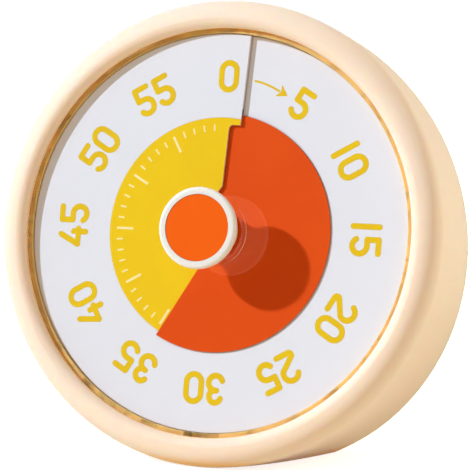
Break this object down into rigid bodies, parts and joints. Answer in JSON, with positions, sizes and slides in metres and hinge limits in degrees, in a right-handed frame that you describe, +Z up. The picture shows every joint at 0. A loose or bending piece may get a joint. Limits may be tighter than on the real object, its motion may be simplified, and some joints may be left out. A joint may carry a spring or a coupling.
{
  "type": "visual countdown timer",
  "caption": "Round leaning countdown timer: a knob turns an orange disc through a slit in a climbing dial to show the time left.",
  "frame": {"origin": "on the base flat, straight below the centre of the dial", "axes": "X right, Y to the rear, Z up; the dial faces -Y and leans back 10 degrees"},
  "size_m": [0.084, 0.0322, 0.0828],
  "materials": {
    "cream_plastic": "satin cream plastic",
    "knob_cream": "smooth cream plastic",
    "clear_lens": "clear polished sheet",
    "white_dial": "matt white",
    "yellow_print": "matt printed yellow",
    "white_moulding": "natural white moulding",
    "orange_disc": "matt orange",
    "orange_insert": "satin orange",
    "steel": "plain steel",
    "brass": "turned brass",
    "magnet": "dark sintered magnet",
    "copper_winding": "enamelled copper wire",
    "green_board": "solder-masked board",
    "black_plastic": "black plastic",
    "cell_sleeve": "plain printed cell sleeve"
  },
  "bodies": {
    "case": {"front_case": "cream_plastic", "back_cover": "cream_plastic", "lens": "clear_lens", "dial_plate": "white_dial", "yellow_label": "yellow_print", "dial_carrier": "white_moulding", "shaft_bush": "brass", "front_plate": "white_moulding", "rear_plate": "white_moulding", "stator": "steel", "coil": "copper_winding", "circuit_board": "green_board", "buzzer": "black_plastic", "switch_body": "steel", "battery_cell": "cell_sleeve", "contact_spring": "steel", "contact_plate": "steel", "cover_screws": "steel", "movement_screws": "steel", "plate_screws": "steel"},
    "knob": {"knob_cap": "knob_cream", "knob_insert": "orange_insert", "main_shaft": "steel", "centre_wheel": "brass", "clutch_washer": "brass"},
    "disc": {"timer_disc": "orange_disc", "disc_hub": "orange_disc"},
    "intermediate": {"intermediate_wheel": "brass"},
    "third": {"third_wheel": "brass"},
    "rotor": {"rotor": "magnet"},
    "switch": {"switch_slider": "black_plastic"},
    "door": {"battery_door": "cream_plastic"}
  },
  "joints": [
    {"name": "knob_turn", "type": "hinge", "parent": "case", "child": "knob", "pos_m": [0, 0, 0.0415], "axis": [0, 0.9848, -0.1736], "range_deg": [-210, 150]},
    {"name": "disc_lift", "type": "slide", "parent": "knob", "child": "disc", "axis": [0, -0.9848, 0.1736], "range_m": [-0.00051583, 0.00037417]},
    {"name": "intermediate_turn", "type": "hinge", "parent": "case", "child": "intermediate", "pos_m": [0.00909, 0.00091, 0.04667], "axis": [0, 0.9848, -0.1736], "range_deg": [-601, 841]},
    {"name": "third_turn", "type": "hinge", "parent": "case", "child": "third", "pos_m": [0.00763, 0.00235, 0.05482], "axis": [0, 0.9848, -0.1736], "range_deg": [-2521, 1801]},
    {"name": "rotor_turn", "type": "hinge", "parent": "case", "child": "rotor", "pos_m": [-0.00064, 0.00209, 0.05338], "axis": [0, 0.9848, -0.1736], "range_deg": [-5401, 7561]},
    {"name": "switch_slide", "type": "slide", "parent": "case", "child": "switch", "axis": [1, 0, 0], "range_m": [-0.002, 0.002]},
    {"name": "door_swing", "type": "hinge", "parent": "case", "child": "door", "pos_m": [0, 0.0199, 0.01425], "axis": [-1, 0, 0], "range_deg": [0, 80]}
  ],
  "couplings": [
    {"joint": "disc_lift", "follows": "knob_turn", "m_per_rad": 0.00013528},
    {"joint": "intermediate_turn", "follows": "knob_turn", "ratio": -4},
    {"joint": "third_turn", "follows": "knob_turn", "ratio": 12},
    {"joint": "rotor_turn", "follows": "knob_turn", "ratio": -36}
  ]
}
